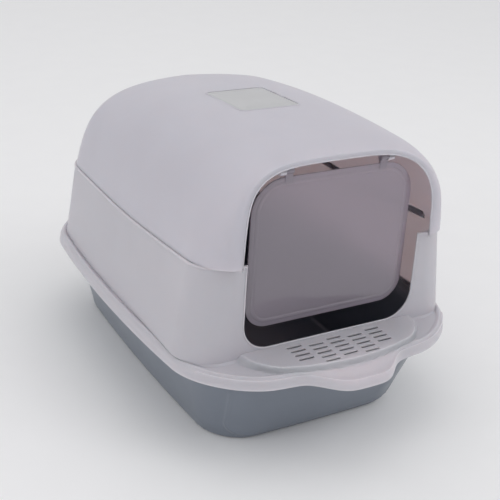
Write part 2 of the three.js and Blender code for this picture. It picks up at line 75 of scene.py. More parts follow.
# ---- form of the mouldings, in the frame's places ----
LIP_REACH = 32 * mm            # grab lip in the middle of the front edge
LIP_HALF = 57 * mm
BULGE_REACH = 16 * mm          # the flange's crest swells forward in the middle of the front
BULGE_HALF = 110 * mm
FLANGE_RADIUS = 91 * mm
SIDE_BOW = 19 * mm
END_BOW = 20 * mm
PORCH = 60 * mm                # from the flange's front edge to the doorway
HOOD_INSET = 10 * mm           # from the flange edge to the hood wall
UPPER_BOW = 5 * mm
SIDE_LEAN = 0.135
BACK_LEAN = 0.32
HOOD_FRONT_RADIUS = 46 * mm
HOOD_BACK_RADIUS = 80 * mm
BACK_TIGHTENING = 0.2
SHOULDER = 236 * mm            # height where the sides begin to round into the roof
SHOULDER_POWER = 3.6
LEDGE = 1.6 * mm               # the cover stands this far inside the lower hood
SEAM = 234 * mm
POST_TOP = 248.5 * mm
SEAM_START = 20 * mm
ROOF_PEAK = -78 * mm
ROOF_DROP_BACK = 21 * mm
ROOF_DROP_FRONT = 5 * mm
RIM_DROP = 5 * mm
VISOR_REACH = 10 * mm
VISOR_TURN = 20 * mm
VISOR_TAPER = 62 * mm
ARCH_HALF = 129.5 * mm
ARCH_TOP = 356 * mm
ARCH_SPRING = 246 * mm
ARCH_POWER = 4
ARCH_RIM = 4 * mm
DOOR_HALF = 120 * mm
DOOR_RADIUS = 36 * mm
STEP_TOP = 135 * mm
HINGE_HALF = 90 * mm           # from the middle to each rear hinge
KNUCKLE_WIDTH = 14 * mm
KNUCKLE_RADIUS = 6 * mm
EAR_MIDDLE = 64.5 * mm         # from the middle to each ear of the flap
EAR_HALF = 5 * mm
PIN_END = 76.5 * mm
HANGER_WIDTH = 8 * mm
TRAY_SIDE_FLARE = 38 * mm
TRAY_FRONT_FLARE = 55 * mm
TRAY_BACK_FLARE = 22 * mm
TRAY_FOOT_RADIUS = 54 * mm
GAP = 0.4 * mm

RIM_TOP = tray_high.z
CROWN = cover_high.z
FLANGE_HALF = hood_high.x
FLANGE_FRONT = hood_low.y + LIP_REACH
FLANGE_BACK = hood_high.y
FLANGE_BOTTOM = hood_low.z
DOOR_FACE = FLANGE_FRONT + PORCH
GUTTER = RIM_TOP + 4.8 * mm


class LitterBoxSizes(bpy.types.PropertyGroup):
    """Sizes of the mouldings that can be changed by hand."""
    hood_wall: bpy.props.FloatProperty(
        name="Hood wall", description="Thickness of the lower hood's wall",
        default=1.9 * mm, unit="LENGTH")
    cover_wall: bpy.props.FloatProperty(
        name="Cover wall", description="Thickness of the top cover's wall",
        default=1.9 * mm, unit="LENGTH")
    tray_wall: bpy.props.FloatProperty(
        name="Tray wall", description="Thickness of the tray's wall",
        default=3 * mm, unit="LENGTH")
    relief: bpy.props.FloatProperty(
        name="Tray relief", description="How far the tray's front panel stands out",
        default=2.8 * mm, unit="LENGTH")
    step_fall: bpy.props.FloatProperty(
        name="Step edge", description="Width of the soft edge round the step",
        default=12 * mm, unit="LENGTH")
    slot_length: bpy.props.FloatProperty(
        name="Slot length", description="Length of each drain slot in the step",
        default=20.4 * mm, unit="LENGTH")
    slot_width: bpy.props.FloatProperty(
        name="Slot width", description="Width of each drain slot in the step",
        default=3.8 * mm, unit="LENGTH")
    rim_bead: bpy.props.FloatProperty(
        name="Rim bead", description="Radius of the rounded edge of an opening",
        default=1.5 * mm, unit="LENGTH")
    flap_half_thickness: bpy.props.FloatProperty(
        name="Flap half thickness", description="Half the thickness of the flap's panel",
        default=1.2 * mm, unit="LENGTH")
    flap_bead: bpy.props.FloatProperty(
        name="Flap bead", description="Height of the raised bead round the flap",
        default=0.5 * mm, unit="LENGTH")


class LitterBoxColours(bpy.types.PropertyGroup):
    """Colours of the plastics, as sRGB hex values."""
    hood: bpy.props.StringProperty(
        name="Hood", description="White plastic of the lower hood", default="#CEC6CD")
    cover: bpy.props.StringProperty(
        name="Cover", description="White plastic of the top cover", default="#D3CAD4")
    tray: bpy.props.StringProperty(
        name="Tray", description="Slate-grey plastic of the tray", default="#777E89")
    flap: bpy.props.StringProperty(
        name="Flap", description="Smoke tint of the flap", default="#C8BFCC")
    lid: bpy.props.StringProperty(
        name="Lid", description="Grey-green plastic of the filter lid", default="#C9C9CA")
    foam: bpy.props.StringProperty(
        name="Foam", description="Carbon foam of the filter", default="#2B2C2E")
    floor: bpy.props.StringProperty(
        name="Floor", description="Pale floor of the stage", default="#F7F7F7")


# ---- outlines ----
FRONT_STEPS, CORNER_STEPS, SIDE_STEPS, REAR_STEPS, BACK_STEPS = 46, 34, 30, 18, 14
SPANS = [FRONT_STEPS, CORNER_STEPS, SIDE_STEPS, REAR_STEPS, BACK_STEPS]
HALF = sum(SPANS)


def clamp(value, low, high):
    return min(high, max(low, value))


def smooth(value):
    part = clamp(value, 0, 1)
    return part * part * (3 - 2 * part)


def soft_max(a, b, blend):
    part = clamp(0.5 + (a - b) / (2 * blend), 0, 1)
    return b * (1 - part) + a * part + blend * part * (1 - part)


def lip_shape(x):
    return math.exp(-((x / LIP_HALF) ** 4))


def bulge_shape(x):
    return math.cos(math.pi / 2 * min(1, abs(x) / BULGE_HALF)) ** 2


def outline_point(plan, k):
    """Point k of the right-hand half of a plan outline, from the front's middle to the back's."""
    half, front, back = plan["half"], plan["front"], plan["back"]
    front_radius = min(plan["front_radius"], half * 0.95)
    depth = plan.get("front_depth", front_radius)
    back_radius = min(plan["back_radius"], half * 0.95)
    corner_end = FRONT_STEPS + CORNER_STEPS
    side_end = corner_end + SIDE_STEPS
    rear_end = side_end + REAR_STEPS
    if k < FRONT_STEPS:
        x, y = (half - front_radius) * k / FRONT_STEPS, front
    elif k <= corner_end:
        turn = math.pi / 2 * (k - FRONT_STEPS) / CORNER_STEPS
        x = half - front_radius * (1 - math.sin(turn))
        y = front + depth * (1 - math.cos(turn))
    elif k < side_end:
        part = (k - corner_end) / SIDE_STEPS
        x, y = half, (front + depth) * (1 - part) + (back - back_radius) * part
    elif k <= rear_end:
        turn = math.pi / 2 * (k - side_end) / REAR_STEPS
        x = half - back_radius * (1 - math.cos(turn))
        y = back - back_radius * (1 - math.sin(turn))
    else:
        x, y = (half - back_radius) * (1 - (k - rear_end) / BACK_STEPS), back
    along = (y - (front + back) / 2) / ((back - front) / 2)
    across = x / half
    end = across ** 2 * abs(along) ** 3
    bow = plan.get("front_side_bow", plan["side_bow"]) if along < 0 else plan["side_bow"]
    lip = 0
    if along < -0.5:
        lip = plan.get("lip", 0) * lip_shape(x) + plan.get("bulge", 0) * bulge_shape(x)
    y += (plan["front_bow"] if along < 0 else -plan["back_bow"]) * end - lip
    return x - bow * along ** 2 * across, y


def mirrored(half_ring):
    """A whole closed ring from its right-hand half."""
    return half_ring + [(-x, y, z) for x, y, z in reversed(half_ring[1:-1])]


def ring(plan_at, height, fine=1):
    """A ring on the outline that plan_at(z) gives; height gives z for a place (x, y)."""
    points = []
    for k in range(HALF * fine + 1):
        z = height(0, 0)
        for _ in range(3):
            x, y = outline_point(plan_at(z), k / fine)
            z = height(x, y)
        points.append((x, y, z))
    return mirrored(points)


def flat_ring(plan, z, fine=1):
    return ring(lambda _: plan, lambda x, y: z, fine)


def shrunk(points, share):
    """The ring drawn in towards its middle by a share."""
    count = len(points)
    middle = [sum(p[i] for p in points) / count for i in range(3)]
    return [tuple(m + (c - m) * share for m, c in zip(middle, p)) for p in points]


def between(low_ring, high_ring, part):
    return [tuple(a + (b - a) * part for a, b in zip(p, q)) for p, q in zip(low_ring, high_ring)]


def rounded(half_a, half_b, radii, steps=10):
    """A closed rectangle with rounded corners; radii are for the upper and the lower corners."""
    points = []
    upper, lower = radii
    corners = [(1, 1, 0, upper), (-1, 1, 1, upper), (-1, -1, 2, lower), (1, -1, 3, lower)]
    for side_a, side_b, quarter, radius in corners:
        for i in range(steps + 1):
            turn = math.pi / 2 * (quarter + i / steps)
            points.append((side_a * (half_a - radius) + radius * math.cos(turn),
                           side_b * (half_b - radius) + radius * math.sin(turn)))
    return points


# ---- plans ----
def flange_plan(inset, lip=0.0, bulge=0.0):
    return dict(half=FLANGE_HALF - inset, front=FLANGE_FRONT + inset, back=FLANGE_BACK - inset,
                front_radius=FLANGE_RADIUS - inset, back_radius=FLANGE_RADIUS - inset,
                side_bow=SIDE_BOW, front_bow=END_BOW, back_bow=END_BOW, lip=lip, bulge=bulge)


def crown_of(inset):
    return CROWN + LEDGE - inset


def hood_half(z, inset):
    lean = FLANGE_HALF - HOOD_INSET - (z - RIM_TOP) * SIDE_LEAN - inset
    part = clamp((z - SHOULDER) / (crown_of(inset) - SHOULDER), 0, 0.9999)
    return lean * (1 - part ** SHOULDER_POWER) ** (1 / SHOULDER_POWER)


def hood_plan(z, inset, front=DOOR_FACE):
    foot = 1 - clamp((z - RIM_TOP) / (SEAM - RIM_TOP), 0, 1)
    return dict(half=hood_half(z, inset), front=front + inset,
                back=FLANGE_BACK - HOOD_INSET - BACK_LEAN * (z - RIM_TOP) - inset,
                front_radius=HOOD_FRONT_RADIUS - inset,
                back_radius=HOOD_BACK_RADIUS - inset - BACK_TIGHTENING * (z - RIM_TOP),
                side_bow=UPPER_BOW + (SIDE_BOW - UPPER_BOW) * foot, front_side_bow=0,
                front_bow=0, back_bow=END_BOW * 0.8)


def roof_fall(x, y, z):
    rise = clamp((z - SHOULDER) / (CROWN - SHOULDER), 0, 1)
    behind = clamp((y - ROOF_PEAK) / (FLANGE_BACK - 110 * mm - ROOF_PEAK), 0, 1.2)
    before = clamp((ROOF_PEAK - y) / (ROOF_PEAK - DOOR_FACE), 0, 1.2)
    visor = clamp((DOOR_FACE - VISOR_REACH + VISOR_TURN + VISOR_TAPER - y) / VISOR_TAPER, 0, 1.2)
    drop = ROOF_DROP_BACK * behind ** 2 + ROOF_DROP_FRONT * before ** 2 + RIM_DROP * visor ** 3
    return z - drop * rise ** 1.5


def arch_half(z, margin=0.0):
    part = clamp((z - ARCH_SPRING) / (ARCH_TOP + margin - ARCH_SPRING), 0, 1)
    return (ARCH_HALF + margin) * (1 - part ** ARCH_POWER) ** (1 / ARCH_POWER)


def visor_front(z, inset):
    rise = clamp((z - SHOULDER) / (crown_of(inset) - SHOULDER), 0, 1)
    return DOOR_FACE - VISOR_REACH + VISOR_TURN * clamp((rise - 0.4) / 0.6, 0, 1) ** 2


def cover_plan(z, inset):
    front = visor_front(z, inset)
    plan = hood_plan(z, inset, front)
    rim = arch_half(roof_fall(0, front, z), ARCH_RIM)
    plan["front_radius"] = max(plan["half"] - rim, 5 * mm)
    plan["front_depth"] = VISOR_TAPER - inset
    return plan


def seam_at(y):
    part = clamp((SEAM_START - y) / (SEAM_START - DOOR_FACE), 0, 1)
    return SEAM + (POST_TOP - SEAM) * part ** 1.3


# ---- making meshes ----
def enter(piece):
    """Makes the piece the only one selected, ready for operators."""
    bpy.ops.object.select_all(action="DESELECT")
    piece.select_set(True)
    bpy.context.view_layer.objects.active = piece


def close_seams(piece):
    enter(piece)
    bpy.ops.object.mode_set(mode="EDIT")
    bpy.ops.mesh.select_all(action="SELECT")
    bpy.ops.mesh.remove_doubles(threshold=1e-6)
    bpy.ops.mesh.normals_make_consistent(inside=False)
    bpy.ops.object.mode_set(mode="OBJECT")


def wrap(name, rings):
    """A grid wrapped round a stack of closed rings; a ring shrunk to a point closes an end."""
    bpy.ops.object.select_all(action="DESELECT")
    bpy.ops.mesh.primitive_grid_add(x_subdivisions=len(rings[0]), y_subdivisions=len(rings) - 1)
    piece = bpy.context.object
    piece.name = name
    piece.data.name = name
    places = [point for points in rings for point in (*points, points[0])]
    piece.data.vertices.foreach_set("co", [c for point in places for c in point])
    piece.data.update()
    close_seams(piece)
    return piece


def prism(name, points, start, end, place):
    """A closed prism on a flat convex outline; place turns (a, b, depth) into a point."""
    low = [place(a, b, start) for a, b in points]
    high = [place(a, b, end) for a, b in points]
    return wrap(name, [shrunk(low, 0), low, high, shrunk(high, 0)])


def upright(a, b, depth):
    return (a, depth, b)


def on_roof(a, b, depth):
    """A place on the roof's slope: across, along and up from the filter lid's middle."""
    middle = (lid_low + lid_high) / 2 + roof_normal * 1.25 * mm
    along = Vector((0, roof_normal.z, -roof_normal.y))
    return tuple(middle + Vector((a, 0, 0)) + along * b + roof_normal * depth)


def modify(piece, kind, **settings):
    """Adds a modifier and applies it at once."""
    enter(piece)
    modifier = piece.modifiers.new(kind.title(), kind)
    for key, value in settings.items():
        setattr(modifier, key, value)
    bpy.ops.object.modifier_apply(modifier=modifier.name)


def cut(piece, cutter, operation="DIFFERENCE"):
    modify(piece, "BOOLEAN", object=cutter, operation=operation, solver="EXACT")
    bpy.data.objects.remove(cutter)


def merge_pieces(pieces, name):
    """Joins separate meshes into one object of the first one's place."""
    bpy.ops.object.select_all(action="DESELECT")
    for piece in pieces:
        piece.select_set(True)
    bpy.context.view_layer.objects.active = pieces[0]
    bpy.ops.object.join()
    pieces[0].name = name
    pieces[0].data.name = name
    return pieces[0]


def finish_piece(piece, body, material, replaces=(), angle=30):
    """Gives the piece its shading, material and body, and hides the parts that it replaces."""
    enter(piece)
    bpy.ops.object.transform_apply(location=True, rotation=True, scale=True)
    bpy.ops.object.shade_smooth_by_angle(angle=math.radians(angle))
    piece.data.materials.clear()
    piece.data.materials.append(material)
    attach(piece, body)
    if replaces:
        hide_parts(*replaces)
    return piece


def rod(name, radius, x0, x1, y, z, soften=0.5 * mm, vertices=40):
    """A round rod along x with softened ends."""
    bpy.ops.object.select_all(action="DESELECT")
    bpy.ops.mesh.primitive_cylinder_add(
        vertices=vertices, radius=radius, depth=x1 - x0, location=((x0 + x1) / 2, y, z),
        rotation=(0, math.pi / 2, 0))
    piece = bpy.context.object
    piece.name = name
    bpy.ops.object.transform_apply(location=True, rotation=True, scale=True)
    modify(piece, "BEVEL", width=soften, segments=3, limit_method="ANGLE")
    return piece


def block(name, corners, soften=0.6 * mm):
    """A cube shaped to a prism between two x places, on four (y, z) corners, with soft edges."""
    (x0, x1), outline = corners
    bpy.ops.object.select_all(action="DESELECT")
    bpy.ops.mesh.primitive_cube_add(size=1)
    piece = bpy.context.object
    piece.name = name
    for vertex in piece.data.vertices:
        index = [(-1, -1), (1, -1), (1, 1), (-1, 1)].index(
            (1 if vertex.co.y > 0 else -1, 1 if vertex.co.z > 0 else -1))
        y, z = outline[index]
        vertex.co = (x1 if vertex.co.x > 0 else x0, y, z)
    close_seams(piece)
    modify(piece, "BEVEL", width=soften, segments=3, limit_method="ANGLE")
    return piece


def bead(name, points, radius, cyclic=False):
    """A round bead along a line of points, made from a curve and turned into a mesh."""
    curve = bpy.data.curves.new(name, "CURVE")
    curve.dimensions = "3D"
    curve.bevel_depth = radius
    curve.bevel_resolution = 4
    curve.use_fill_caps = True
    spline = curve.splines.new("POLY")
    spline.points.add(len(points) - 1)
    for target, point in zip(spline.points, points):
        target.co = (*point, 1)
    spline.use_cyclic_u = cyclic
    line = bpy.data.objects.new(name, curve)
    bpy.context.scene.collection.objects.link(line)
    enter(line)
    bpy.ops.object.convert(target="MESH")
    piece = bpy.context.object
    close_seams(piece)
    return piece


# ---- materials ----
def linear(hex_value):
    """An sRGB hex value as a linear colour."""
    parts = [int(hex_value[i:i + 2], 16) / 255 for i in (1, 3, 5)]
    return [p / 12.92 if p <= 0.04045 else ((p + 0.055) / 1.055) ** 2.4 for p in parts] + [1]


def add_node(tree, kind, links=(), **settings):
    """Adds a node, sets its sockets or settings, and links (socket name, source) pairs."""
    node = tree.nodes.new(kind)
    for key, value in settings.items():
        if key in node.inputs:
            node.inputs[key].default_value = value
        else:
            setattr(node, key, value)
    for socket, source in links:
        tree.links.new(source, node.inputs[socket])
    return node


def moulded_plastic(name, colour, roughness, grain, mottling, ior=1.49, texture=0.12, **shader):
    """Injection-moulded plastic: a satin skin with the mould's fine spark texture.

    The colour drifts a little over a hand's width, as flow in the mould leaves it, the gloss varies
    in soft patches, and the fine grain breaks up the highlights. grain is its size in metres.
    """
    material = bpy.data.materials.new(name)
    material.use_nodes = True
    tree = material.node_tree
    tree.nodes.clear()
    place = add_node(tree, "ShaderNodeTexCoord").outputs["Object"]
    drift = add_node(tree, "ShaderNodeTexNoise", [("Vector", place)],
                     Scale=1 / (70 * mm), Detail=3.0)
    base = linear(colour)
    tone = add_node(tree, "ShaderNodeValToRGB", [("Fac", drift.outputs["Fac"])])
    for stop, share in zip(tone.color_ramp.elements, (1 - mottling, 1 + mottling)):
        stop.color = [min(1, c * share) for c in base[:3]] + [1]
    tone.color_ramp.elements[0].position = 0.35
    tone.color_ramp.elements[1].position = 0.65
    patches = add_node(tree, "ShaderNodeTexNoise", [("Vector", place)],
                       Scale=1 / (18 * mm), Detail=2.0)
    gloss = add_node(tree, "ShaderNodeMapRange", [("Value", patches.outputs["Fac"])])
    gloss.inputs["To Min"].default_value = roughness * 0.9
    gloss.inputs["To Max"].default_value = roughness * 1.1
    skin = add_node(tree, "ShaderNodeTexNoise", [("Vector", place)], Scale=1 / grain, Detail=2.0)
    bump = add_node(tree, "ShaderNodeBump", [("Height", skin.outputs["Fac"])],
                    Strength=texture, Distance=0.08 * mm)
    surface = add_node(tree, "ShaderNodeBsdfPrincipled", [
        ("Base Color", tone.outputs["Color"]), ("Roughness", gloss.outputs["Result"]),
        ("Normal", bump.outputs["Normal"])], IOR=ior)
    for socket, value in shader.items():
        surface.inputs[socket.replace("_", " ")].default_value = value
    add_node(tree, "ShaderNodeOutputMaterial", [("Surface", surface.outputs["BSDF"])])
    return material


def white_polypropylene(name, colour):
    """White PP copolymer: slightly milky, so light sinks in a little and edges look soft."""
    return moulded_plastic(name, colour, roughness=0.42, grain=0.9 * mm, mottling=0.012,
                           Subsurface_Weight=0.75, Subsurface_Scale=13 * mm,
                           Subsurface_Radius=(1.0, 0.8, 0.76))


def slate_polypropylene(colour):
    """Slate-grey PP of the tray: satin, and a little more mottled than the white."""
    return moulded_plastic("slate_polypropylene", colour, roughness=0.3, grain=1.1 * mm,
                           mottling=0.03)


def smoked_polystyrene(colour):
    """Smoke-tinted polystyrene: a glossy face, with the room behind showing as a dim blur."""
    return moulded_plastic("smoked_polystyrene", colour, roughness=0.42, grain=9 * mm,
                           mottling=0.01, ior=1.2, texture=0.0, Transmission_Weight=0.76,
                           Coat_Weight=1.0, Coat_Roughness=0.03, Coat_IOR=1.65)


def frosted_lid_plastic(colour):
    """Frosted grey-green PP of the filter lid: matt, with a faint cloud of the foam below."""
    return moulded_plastic("frosted_polypropylene", colour, roughness=0.34, grain=1.4 * mm,
                           mottling=0.03, Alpha=0.93)


def carbon_foam(colour):
    """Open-cell filter foam loaded with carbon: matt black with visible cells."""
    material = moulded_plastic("carbon_foam", colour, roughness=0.92, grain=2.2 * mm, mottling=0.2)
    bump = material.node_tree.nodes["Bump"]
    bump.inputs["Strength"].default_value = 0.9
    bump.inputs["Distance"].default_value = 0.8 * mm
    return material


def stage_paint(colour):
    """Matt paper of the studio floor: even, with a barely visible tooth."""
    return moulded_plastic("studio_paper", colour, roughness=0.9, grain=3 * mm, mottling=0.004)


def material_named(name, make, *values):
    return bpy.data.materials.get(name) or make(*values)


def hood_plastic(colours):
    return material_named("white_polypropylene_hood", white_polypropylene,
                          "white_polypropylene_hood", colours.hood)


def cover_plastic(colours):
    return material_named("white_polypropylene_cover", white_polypropylene,
                          "white_polypropylene_cover", colours.cover)


# ---- tray ----
PANEL_TOP_HALF, PANEL_LOW_HALF = 137 * mm, 124 * mm
PANEL_TOP, PANEL_LOW, PANEL_RADIUS = 106 * mm, 9 * mm, 22 * mm
TRAY_RIM_INSET = 4.4 * mm
TRAY_TOP_INSET = TRAY_RIM_INSET + 15 * mm
TRAY_FLOOR = 3.5 * mm
FOOT_EDGE = 4 * mm
TRAY_FINE = 2                  # more points along each ring, for the relief's edge


def tray_plan(z, inset):
    down = 1 - clamp(z / RIM_TOP, 0, 1)
    plan = flange_plan(TRAY_TOP_INSET + inset)
    foot_radius = max(TRAY_FOOT_RADIUS - inset, 5 * mm)
    radius = plan["front_radius"] * (1 - down) + foot_radius * down
    plan.update(half=plan["half"] - TRAY_SIDE_FLARE * down,
                front=plan["front"] + TRAY_FRONT_FLARE * down,
                back=plan["back"] - TRAY_BACK_FLARE * down,
                front_radius=radius, back_radius=radius,
                side_bow=SIDE_BOW * (1 - 0.6 * down),
                front_bow=END_BOW * (1 - 0.85 * down), back_bow=END_BOW * (1 - 0.85 * down))
    return plan


def panel_mask(x, y, z):
    """1 on the front wall's relief panel and 0 off it, with a small bead along its edge."""
    if y > 0:
        return 0
    rise = clamp((z - PANEL_LOW) / (PANEL_TOP - PANEL_LOW), 0, 1)
    half = PANEL_LOW_HALF + (PANEL_TOP_HALF - PANEL_LOW_HALF) * rise
    middle, reach = (PANEL_TOP + PANEL_LOW) / 2, (PANEL_TOP - PANEL_LOW) / 2
    dx = abs(x) - half + PANEL_RADIUS
    dz = abs(z - middle) - reach + PANEL_RADIUS
    away = math.hypot(max(dx, 0), max(dz, 0)) + min(max(dx, dz), 0) - PANEL_RADIUS
    return smooth(0.5 - away / (2.6 * mm)) + 0.35 * math.exp(-((away + 1.5 * mm) / (1.8 * mm)) ** 2)


def tray_wall_ring(z, inset, relief=0.0):
    plan = tray_plan(z, inset)
    points = []
    for x, y, height in flat_ring(plan, z, TRAY_FINE):
        out = relief * panel_mask(x, y, z)
        points.append((x * (1 + out / (2 * abs(plan["front"]))), y - out, height))
    return points


class MESH_OT_litter_tray(bpy.types.Operator):
    """Build the deep grey tray with its turned rim and relief panel"""
    bl_idname = "mesh.litter_tray"
    bl_label = "Litter tray"

    def execute(self, context):
        sizes, colours = context.scene.litter_box_sizes, context.scene.litter_box_colours
        wall, relief = sizes.tray_wall, sizes.relief
        under = RIM_TOP - wall
        foot = tray_wall_ring(0, FOOT_EDGE)
        rings = [shrunk(foot, share) for share in (0, 0.4, 0.8, 0.97)] + [foot]
        for i in range(1, 5):
            turn = math.pi / 2 * i / 4
            rings.append(tray_wall_ring(FOOT_EDGE * (1 - math.cos(turn)),
                                        FOOT_EDGE * (1 - math.sin(turn)), relief))
        rows = 40
        for i in range(1, rows + 1):
            rings.append(tray_wall_ring(FOOT_EDGE + (under - FOOT_EDGE) * i / rows, 0, relief))
        lip_low = under - 4.5 * mm
        edge = 0.7 * mm
        for inset, z in [(TRAY_RIM_INSET + wall, under), (TRAY_RIM_INSET + wall, lip_low),
                         (TRAY_RIM_INSET, lip_low), (TRAY_RIM_INSET, RIM_TOP - edge),
                         (TRAY_RIM_INSET + edge * 0.3, RIM_TOP - edge * 0.3),
                         (TRAY_RIM_INSET + edge, RIM_TOP)]:
            rings.append(flat_ring(flange_plan(inset), z, TRAY_FINE))
        rings.append(flat_ring(tray_plan(RIM_TOP, wall - edge), RIM_TOP, TRAY_FINE))
        inside_rows = 12
        for i in range(inside_rows + 1):
            z = RIM_TOP - edge + (TRAY_FLOOR + FOOT_EDGE - RIM_TOP + edge) * i / inside_rows
            rings.append(tray_wall_ring(z, wall))
        for i in range(1, 5):
            turn = math.pi / 2 * i / 4
            rings.append(tray_wall_ring(TRAY_FLOOR + FOOT_EDGE * (1 - math.sin(turn)),
                                        wall + FOOT_EDGE * (1 - math.cos(turn))))
        floor = rings[-1]
        rings += [shrunk(floor, share) for share in (0.97, 0.8, 0.4, 0)]
        tray = wrap("tray_shell", rings)
        finish_piece(tray, "tray",
                     material_named("slate_polypropylene", slate_polypropylene, colours.tray),
                     ["litter_tray"], angle=40)
        return {"FINISHED"}


# ---- lower hood ----
STEP_HALF = 119 * mm
STEP_RADIUS = 34 * mm
STEP_DROP = 9 * mm
STEP_PLATE = 1.8 * mm


def step_height(x, y, fall):
    """Height of the step's form: flat, with a steep front edge and softer edges at the sides."""
    front = FLANGE_FRONT + 0.5 * mm + 1.8 * x * x
    dx = abs(x) - STEP_HALF + STEP_RADIUS
    dy = front + STEP_RADIUS - y
    away = math.hypot(max(dx, 0), max(dy, 0)) + min(max(dx, dy), 0) - STEP_RADIUS
    side = smooth(dx / STEP_RADIUS) * smooth((y - front) / STEP_RADIUS)
    return STEP_TOP - STEP_DROP * smooth(away / (fall * (0.4 + 0.6 * side)))


# rows over the flange's edge: inset, height over the flange's lower edge, share of the lip and of
# the bulge, and the way the skin faces in degrees (0 outwards, 90 up)
EDGE_ROWS = [
    (0.2, 0.0, 1.0, 0.0, 0), (-0.5, 0.3, 1.0, 0.0, 0), (-0.7, 1.1, 1.0, 0.0, 0),
    (-0.5, 2.0, 1.0, 0.0, 0), (0.0, 3.2, 1.0, 0.0, 0), (0.1, 6.5, 1.0, 0.0, 5),
    (0.3, 8.2, 0.99, 0.01, 15), (0.7, 9.6, 0.96, 0.04, 28), (1.3, 11.0, 0.88, 0.12, 36),
    (2.0, 12.4, 0.72, 0.28, 44), (2.8, 13.7, 0.48, 0.52, 52), (3.6, 14.9, 0.22, 0.76, 64),
    (4.4, 15.6, 0.06, 0.94, 78), (5.2, 15.9, 0.0, 1.0, 90), (6.2, 15.8, 0.0, 0.97, 98),
    (7.3, 15.3, 0.0, 0.9, 106), (8.4, 14.8, 0.0, 0.82, 104), (9.3, 14.4, 0.0, 0.76, 98),
    (10.0, 14.3, 0.0, 0.72, 91)]
PORCH_ROWS = 38
WALL_ROWS = 30
# bead along the hood's top edge: distance below the edge, inset
TOP_BEAD = [(3.4, 0.0), (2.9, -0.35), (2.2, -0.75), (1.3, -0.85), (0.6, -0.6), (0.2, -0.1),
            (0.0, 0.5)]


def hood_skin(sizes, wall):
    """One skin of the hood, from the flange's lower edge to the seam; wall 0 is the outer one."""
    fall = sizes.step_fall
    floor = RIM_TOP + GAP
    plate = STEP_PLATE if wall else 0

    def topped(points):
        if not points[0][1] < 0:
            return points
        return [(x, y, max(floor, soft_max(z, step_height(x, y, fall) - plate, 1.2 * mm))
                 if y < DOOR_FACE + 4 * mm and z > floor - 0.5 * mm else z) for x, y, z in points]

    rings = []
    for inset, height, lip, bulge, turn in EDGE_ROWS:
        inset = inset * mm + wall * math.cos(math.radians(turn))
        z = FLANGE_BOTTOM + height * mm - (wall * math.sin(math.radians(turn)) if height else 0)
        rings.append(topped(flat_ring(
            flange_plan(inset, LIP_REACH * lip, BULGE_REACH * bulge), z)))
    gutter = [(x, y, GUTTER - wall) for x, y, _ in rings[-1]]
    foot = flat_ring(hood_plan(GUTTER, wall), GUTTER - wall)
    for i in range(1, PORCH_ROWS + 1):
        part = (i / PORCH_ROWS) ** 1.3
        fillet = 2.2 * mm * smooth((part - 0.9) * 10)
        rings.append(topped([(x, y, z + fillet) for x, y, z in between(gutter, foot, part)]))
    low = rings[-1]

    def wall_ring(part, inset, down=0.0):
        points = []
        for k in range(HALF + 1):
            x, y, z = low[k]
            for _ in range(3):
                z = low[k][2] + (seam_at(y) - GAP / 2 - down - low[k][2]) * part
                x, y = outline_point(hood_plan(z, wall + inset), k)
            points.append((x, y, z))
        return mirrored(points)

    rings += [wall_ring(i / WALL_ROWS, 0, 3.6 * mm) for i in range(1, WALL_ROWS + 1)]
    if wall:
        return rings + [wall_ring(1, 0)]
    return rings + [wall_ring(1, inset * mm, down * mm) for down, inset in TOP_BEAD]


def slot_cutters(sizes):
    """Drain slots: rows across the step, every second column half a row further forward."""
    pitch_x, pitch_y = 27.7 * mm, 9.4 * mm
    cutters = []
    for column in range(5):
        x = (column - 2) * pitch_x
        for row in range(4 if column in (0, 4) else 5):
            y = DOOR_FACE - 11 * mm - (row + 0.5 * (column % 2)) * pitch_y
            outline = rounded(sizes.slot_length / 2, sizes.slot_width / 2, (1.2 * mm, 1.2 * mm), 3)
            cutters.append(prism("slot", outline, STEP_TOP - 8 * mm, STEP_TOP + 5 * mm,
                                 lambda a, b, depth, x=x, y=y: (x + a, y + b, depth)))
    return cutters


def door_points(grow=0.0):
    """The doorway's outline in x and z, from the top left down and round to the top right."""
    half, radius = DOOR_HALF - grow, DOOR_RADIUS - grow
    points = [(-half, STEP_TOP + grow + radius)]
    for i in range(1, 13):
        turn = math.pi / 2 * i / 12
        points.append((-half + radius * (1 - math.cos(turn)),
                       STEP_TOP + grow + radius * (1 - math.sin(turn))))
    return points + [(-x, z) for x, z in reversed(points)]


class MESH_OT_lower_hood(bpy.types.Operator):
    """Build the lower hood with its flange, grab lip, slotted step and door posts"""
    bl_idname = "mesh.lower_hood"
    bl_label = "Lower hood"

    def execute(self, context):
        sizes, colours = context.scene.litter_box_sizes, context.scene.litter_box_colours
        outer, inner = hood_skin(sizes, 0), hood_skin(sizes, sizes.hood_wall)
        hood = wrap("hood_shell", [*outer, *reversed(inner), outer[0]])
        outline = [(-DOOR_HALF, CROWN), *door_points(), (DOOR_HALF, CROWN)]
        cut(hood, prism("doorway", outline, DOOR_FACE - 12 * mm, DOOR_FACE + 40 * mm, upright))
        cut(hood, merge_pieces(slot_cutters(sizes), "slots"))
        finish_piece(hood, "hood", hood_plastic(colours), ["hood_base"])
        return {"FINISHED"}


